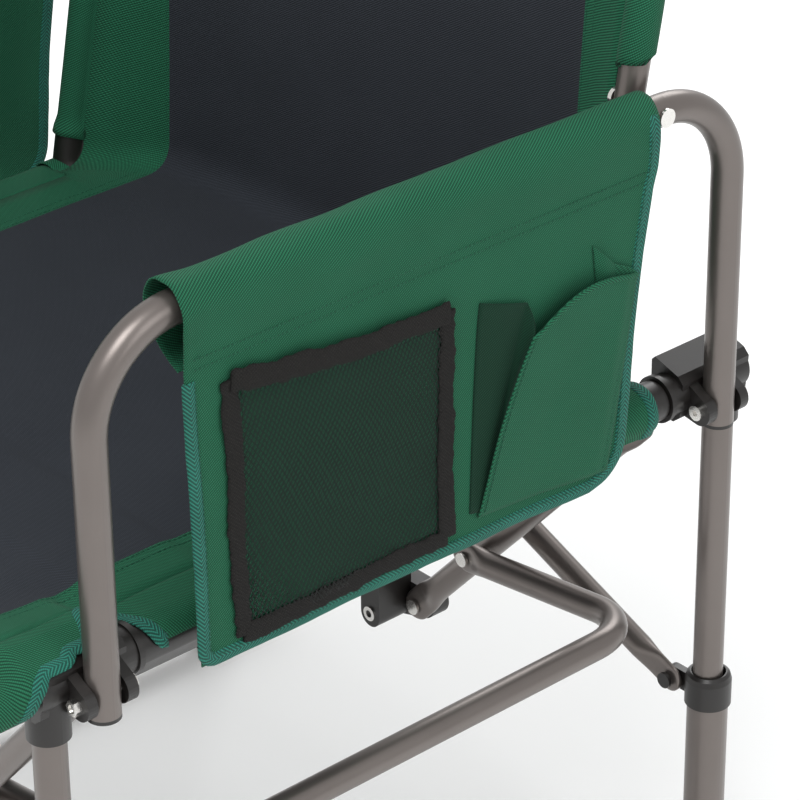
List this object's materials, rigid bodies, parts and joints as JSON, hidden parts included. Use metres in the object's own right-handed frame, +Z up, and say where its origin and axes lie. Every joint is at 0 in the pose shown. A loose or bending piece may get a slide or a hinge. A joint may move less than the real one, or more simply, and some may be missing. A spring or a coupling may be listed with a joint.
{
  "type": "camp rocking chair",
  "caption": "Folding camp chair with spring-action rocking base, steel tube arms, fabric seat, back and side panels with mesh and phone pockets.",
  "frame": {"origin": "on the floor, under the middle of the whole chair's box", "axes": "+X to the sitter's left, +Y to the back of the chair, +Z up"},
  "size_m": [0.6434, 0.677, 0.8818],
  "materials": {
    "bronze_tube": "satin taupe powder coat",
    "black_plastic": "moulded black, satin",
    "bright_fasteners": "bright plated steel",
    "spring_steel": "plain spring wire",
    "green_fabric": "hunter green woven polyester with teal binding tape",
    "charcoal_fabric": "charcoal woven polyester with green side bands",
    "mesh_fabric": "black open mesh with tape border"
  },
  "bodies": {
    "base_left": {"base_rail_left": "bronze_tube", "base_feet_left": "black_plastic", "pivot_brackets_left": "black_plastic", "pivot_pins_left": "bright_fasteners"},
    "cylinder_left": {"spring_cylinder_left": "bronze_tube", "cylinder_collar_left": "black_plastic", "coil_spring_left": "spring_steel"},
    "side_left": {"arm_tube_left": "bronze_tube", "tube_plugs_left": "black_plastic", "seat_rail_left": "bronze_tube", "seat_joints_left": "black_plastic", "joint_bolts_left": "bright_fasteners", "link_brackets_left": "black_plastic", "front_leg_left": "bronze_tube", "front_foot_left": "black_plastic", "piston_rod_left": "bronze_tube", "back_upright_left": "bronze_tube", "upright_foot_left": "black_plastic", "upright_bolts_left": "bright_fasteners", "arm_sleeve_left": "green_fabric", "seat_sleeve_left": "green_fabric", "side_panel_left": "green_fabric", "mesh_pocket": "mesh_fabric", "phone_pocket": "green_fabric", "seat_sling": "charcoal_fabric", "back_sling": "charcoal_fabric"},
    "link_left": {"links_left": "bronze_tube", "link_rivets_left": "bright_fasteners"},
    "bail_left": {"bail_left": "bronze_tube"},
    "base_right": {"base_rail_right": "bronze_tube", "base_feet_right": "black_plastic", "pivot_brackets_right": "black_plastic", "pivot_pins_right": "bright_fasteners"},
    "cylinder_right": {"spring_cylinder_right": "bronze_tube", "cylinder_collar_right": "black_plastic", "coil_spring_right": "spring_steel"},
    "side_right": {"arm_tube_right": "bronze_tube", "tube_plugs_right": "black_plastic", "seat_rail_right": "bronze_tube", "seat_joints_right": "black_plastic", "joint_bolts_right": "bright_fasteners", "link_brackets_right": "black_plastic", "front_leg_right": "bronze_tube", "front_foot_right": "black_plastic", "piston_rod_right": "bronze_tube", "back_upright_right": "bronze_tube", "upright_foot_right": "black_plastic", "upright_bolts_right": "bright_fasteners", "arm_sleeve_right": "green_fabric", "seat_sleeve_right": "green_fabric", "side_panel_right": "green_fabric"},
    "link_right": {"links_right": "bronze_tube", "link_rivets_right": "bright_fasteners"},
    "bail_right": {"bail_right": "bronze_tube"},
    "hub": {"hubs": "black_plastic", "hub_rivets": "bright_fasteners"},
    "brace_left": {"brace_left": "bronze_tube", "apex_rivet": "bright_fasteners"},
    "brace_right": {"brace_right": "bronze_tube"}
  },
  "joints": [
    {"name": "rock", "type": "hinge", "parent": "base_left", "child": "side_left", "pos_m": [0.271, -0.2775, 0.05], "axis": [1, 0, 0], "range_deg": [-5, 3], "stiffness_Nm_per_rad": 3500, "deforming": ["coil_spring_left", "coil_spring_right"]},
    {"name": "fold", "type": "hinge", "parent": "side_left", "child": "link_left", "pos_m": [0.248, 0.0135, 0.445], "axis": [0, -1, 0], "range_deg": [0, 44], "deforming": ["seat_sling", "back_sling"]},
    {"name": "hub_turn", "type": "hinge", "parent": "link_left", "child": "hub", "pos_m": [0.018, 0.0135, 0.191], "axis": [0, -1, 0], "range_deg": [-44, 0]},
    {"name": "link_turn_right", "type": "hinge", "parent": "hub", "child": "link_right", "pos_m": [-0.03, 0.0135, 0.191], "axis": [0, -1, 0], "range_deg": [-44, 0]},
    {"name": "side_turn_right", "type": "hinge", "parent": "link_right", "child": "side_right", "pos_m": [-0.26, 0.0135, 0.445], "axis": [0, -1, 0], "range_deg": [0, 44]},
    {"name": "base_turn_right", "type": "hinge", "parent": "side_right", "child": "base_right", "pos_m": [-0.283, -0.2775, 0.05], "axis": [1, 0, 0], "range_deg": [-3, 5]},
    {"name": "cylinder_turn_left", "type": "hinge", "parent": "base_left", "child": "cylinder_left", "pos_m": [0.271, 0.3055, 0.05], "axis": [1, 0, 0], "range_deg": [-5, 3]},
    {"name": "cylinder_turn_right", "type": "hinge", "parent": "base_right", "child": "cylinder_right", "pos_m": [-0.283, 0.3055, 0.05], "axis": [1, 0, 0], "range_deg": [-5, 3]},
    {"name": "bail_turn_left", "type": "hinge", "parent": "link_left", "child": "bail_left", "pos_m": [0.09653, 0.0135, 0.27773], "axis": [0, -1, 0], "range_deg": [0, 33.4]},
    {"name": "bail_turn_right", "type": "hinge", "parent": "link_right", "child": "bail_right", "pos_m": [-0.10853, 0.0135, 0.27773], "axis": [0, 1, 0], "range_deg": [0, 33.4]},
    {"name": "brace_turn_left", "type": "hinge", "parent": "cylinder_left", "child": "brace_left", "pos_m": [0.244, 0.3045, 0.215], "axis": [0, 1, 0], "range_deg": [0, 65.56]},
    {"name": "brace_turn_right", "type": "hinge", "parent": "cylinder_right", "child": "brace_right", "pos_m": [-0.256, 0.3045, 0.215], "axis": [0, -1, 0], "range_deg": [0, 65.56]}
  ],
  "couplings": [
    {"joint": "hub_turn", "follows": "fold", "ratio": -1},
    {"joint": "link_turn_right", "follows": "fold", "ratio": -1},
    {"joint": "side_turn_right", "follows": "fold", "ratio": 1},
    {"joint": "bail_turn_left", "follows": "fold", "ratio": 0.759},
    {"joint": "bail_turn_right", "follows": "fold", "ratio": 0.759},
    {"joint": "brace_turn_left", "follows": "fold", "ratio": 1.49},
    {"joint": "brace_turn_right", "follows": "fold", "ratio": 1.49},
    {"joint": "base_turn_right", "follows": "rock", "ratio": -1},
    {"joint": "cylinder_turn_left", "follows": "rock", "ratio": 1},
    {"joint": "cylinder_turn_right", "follows": "rock", "ratio": 1}
  ]
}
